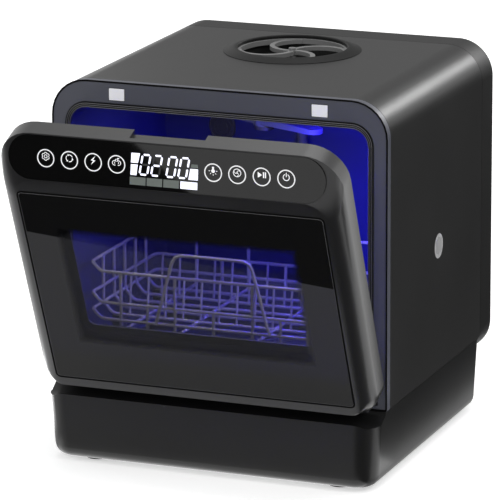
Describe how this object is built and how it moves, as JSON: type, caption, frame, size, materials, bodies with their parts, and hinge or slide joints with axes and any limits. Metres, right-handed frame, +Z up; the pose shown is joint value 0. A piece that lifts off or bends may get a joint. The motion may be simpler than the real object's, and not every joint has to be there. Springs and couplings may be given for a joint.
{
  "type": "countertop dishwasher",
  "caption": "Compact dishwasher for a worktop: glazed drop-down door with a sloping touch strip, lit tub, wire pull-out basket and a round filling mouth on top.",
  "frame": {"origin": "on the ground, under the middle of the bounding box with the door ajar", "axes": "+Z up, the door faces -Y, +X is the right side seen from the front"},
  "size_m": [0.42, 0.5593, 0.464],
  "materials": {
    "black_wrap": "satin black moulding, softly glossy",
    "black_shell": "satin black door shell",
    "base_black": "satin black base",
    "rear_black": "fine textured black",
    "frame_grey": "blue-grey satin",
    "tub_grey": "smooth grey polypropylene",
    "seal_rubber": "matt rubber",
    "foot_rubber": "matt rubber",
    "bright_plate": "bright plated",
    "plug_grey": "light grey",
    "inlet_black": "satin black",
    "tank_clear": "milky translucent",
    "hose_black": "rubber hose",
    "steel": "plain steel",
    "board_green": "circuit board",
    "lamp_blue": "lit lens",
    "door_glass": "tinted glass with a printed border",
    "window_clear": "clear pane",
    "strip_gloss": "piano black",
    "basket_coat": "grey nylon coated wire",
    "arm_grey": "grey polypropylene",
    "motor_dark": "dark moulding",
    "white_nylon": "white nylon",
    "magnet": "nickel plated",
    "display_grey": "display window"
  },
  "bodies": {
    "cabinet": {"wrap": "black_wrap", "front_frame": "frame_grey", "rear_cover": "rear_black", "base_shell": "base_black", "base_tray": "steel", "rubber_feet": "foot_rubber", "tub": "tub_grey", "door_gasket": "seal_rubber", "strike_plates": "bright_plate", "inlet_collar": "inlet_black", "inlet_guard": "inlet_black", "inlet_funnel": "inlet_black", "water_tank": "tank_clear", "tank_hose": "hose_black", "vent_plug": "plug_grey", "basket_runners": "tub_grey", "lamp_lens": "lamp_blue", "lamp_board": "board_green", "sump": "motor_dark", "sump_clamp_ring": "motor_dark", "filter_cup": "arm_grey", "filter_plate": "bright_plate", "wash_pump": "motor_dark", "drain_pump": "motor_dark", "flow_heater": "steel", "wash_hose": "hose_black", "riser_pipe": "arm_grey", "drain_hose": "hose_black", "drain_port": "inlet_black", "fill_valve": "white_nylon", "power_inlet": "inlet_black", "main_board": "board_green", "board_tray": "white_nylon", "fan_duct": "motor_dark", "fan_housing": "motor_dark", "hinge_brackets": "steel", "hinge_pins": "steel", "door_switch": "motor_dark", "rear_screws": "steel", "base_screws": "steel", "upper_arm_nut": "motor_dark"},
    "door": {"door_shell": "black_shell", "door_glass": "door_glass", "door_liner": "frame_grey", "liner_window": "window_clear", "control_strip": "strip_gloss", "touch_board": "board_green", "display_module": "display_grey", "door_magnets": "magnet", "hinge_arms": "steel", "hinge_bushes": "white_nylon", "liner_screws": "steel"},
    "basket": {"basket_frame": "basket_coat", "basket_handle": "basket_coat", "basket_glides": "motor_dark"},
    "lower_arm": {"lower_spray_arm": "arm_grey"},
    "upper_arm": {"upper_spray_arm": "arm_grey"},
    "wash_rotor": {"wash_rotor": "white_nylon"},
    "drain_rotor": {"drain_rotor": "white_nylon"},
    "fan_rotor": {"fan_rotor": "motor_dark"}
  },
  "joints": [
    {"name": "door_hinge", "type": "hinge", "parent": "cabinet", "child": "door", "pos_m": [0, -0.14676, 0.105], "axis": [1, 0, 0], "range_deg": [-22.5, 67.5]},
    {"name": "basket_slide", "type": "slide", "parent": "cabinet", "child": "basket", "axis": [0, -1, 0], "range_m": [-0.03192, 0.09475]},
    {"name": "lower_arm_spin", "type": "hinge", "parent": "cabinet", "child": "lower_arm", "pos_m": [0, 0.03024, 0.112], "axis": [0, 0, 1], "continuous": true},
    {"name": "upper_arm_spin", "type": "hinge", "parent": "cabinet", "child": "upper_arm", "pos_m": [0, 0.03024, 0.3935], "axis": [0, 0, 1], "continuous": true},
    {"name": "wash_rotor_spin", "type": "hinge", "parent": "cabinet", "child": "wash_rotor", "pos_m": [0.1, 0.03024, 0.048], "axis": [1, 0, 0], "continuous": true},
    {"name": "drain_rotor_spin", "type": "hinge", "parent": "cabinet", "child": "drain_rotor", "pos_m": [-0.095, 0.03024, 0.044], "axis": [1, 0, 0], "continuous": true},
    {"name": "fan_rotor_spin", "type": "hinge", "parent": "cabinet", "child": "fan_rotor", "pos_m": [-0.11, 0.24024, 0.346], "axis": [0, 1, 0], "continuous": true}
  ],
  "couplings": [
    {"joint": "basket_slide", "follows": "door_hinge", "m_per_rad": 0.08}
  ]
}
